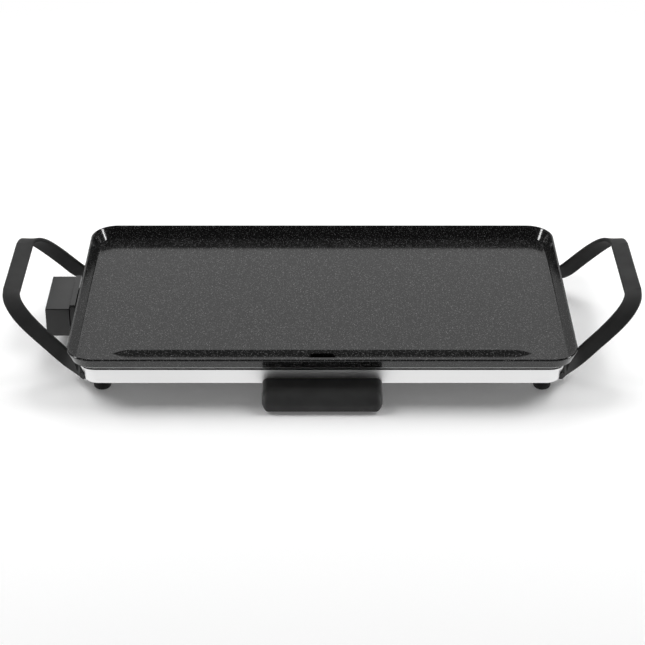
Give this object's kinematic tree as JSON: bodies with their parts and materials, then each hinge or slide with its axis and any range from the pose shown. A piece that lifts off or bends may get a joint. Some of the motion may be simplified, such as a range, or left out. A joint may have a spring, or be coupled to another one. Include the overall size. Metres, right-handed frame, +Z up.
{
  "type": "electric griddle",
  "caption": "Flat electric griddle: a shallow rimmed plate with a grease groove and drain, steel base, loop handles, slide-out drip tray and plug-in thermostat control.",
  "frame": {"origin": "on the table, at the centre of the four feet", "axes": "+X along the plate, away from the control; +Y to the back, away from the drip tray; +Z up"},
  "size_m": [0.5866, 0.2764, 0.0715],
  "materials": {
    "nonstick": "cast, with a dark grey speckled non-stick coating",
    "steel_sheet": "fine brushed stainless sheet",
    "plain_sheet": "plain zinc-plated sheet",
    "reflector_sheet": "bright rolled sheet",
    "sheath": "drawn tube, heat tinted",
    "screws": "zinc plated",
    "rubber": "matte black",
    "handle_plastic": "fine moulded grain, satin black",
    "brass": "turned",
    "ceramic": "white steatite ceramic",
    "tray_plastic": "smooth satin black",
    "tray_coating": "black baked coating",
    "control_plastic": "fine moulded grain, satin black",
    "switch_plastic": "brown moulding",
    "lead_cover": "woven sleeve, pale grey",
    "lens": "clear red moulding",
    "lamp": "clear glass envelope",
    "dial_plastic": "satin black with white figures"
  },
  "bodies": {
    "base": {"griddle_plate": "nonstick", "heating_element": "sheath", "element_clamps": "plain_sheet", "element_clamp_screws": "screws", "terminal_pins": "sheath", "pin_bushes": "ceramic", "probe_sleeve": "sheath", "base_frame": "steel_sheet", "base_bottom": "plain_sheet", "heat_reflector": "reflector_sheet", "plate_spacers": "screws", "plate_screws": "screws", "tray_guide_left": "plain_sheet", "tray_guide_right": "plain_sheet", "tray_guide_rivets": "screws", "foot_front_left": "rubber", "foot_front_right": "rubber", "foot_rear_left": "rubber", "foot_rear_right": "rubber", "foot_screws": "screws", "foot_nuts": "screws", "handle_left": "handle_plastic", "handle_right": "handle_plastic", "handle_inserts": "brass", "handle_screws": "screws", "socket_shroud": "control_plastic", "shroud_screws": "screws"},
    "drip_tray": {"tray_front": "tray_plastic", "tray_pan": "tray_coating", "tray_screws": "screws"},
    "control": {"control_housing": "control_plastic", "control_cover": "control_plastic", "control_screws": "screws", "control_nose": "control_plastic", "contact_sockets": "brass", "probe": "sheath", "thermostat_switch": "switch_plastic", "indicator_lens": "lens", "indicator_lamp": "lamp", "cord_gland": "rubber", "control_leads": "lead_cover"},
    "dial": {"dial_knob": "dial_plastic", "dial_shaft": "screws"}
  },
  "joints": [
    {"name": "tray_slide", "type": "slide", "parent": "base", "child": "drip_tray", "axis": [0, -1, 0], "range_m": [0, 0.075]},
    {"name": "control_pull", "type": "slide", "parent": "base", "child": "control", "axis": [-1, 0, 0], "range_m": [0, 0.1]},
    {"name": "dial_turn", "type": "hinge", "parent": "control", "child": "dial", "pos_m": [-0.2534, -0.009, 0.0269], "axis": [-1, 0, 0], "range_deg": [0, 270]}
  ]
}
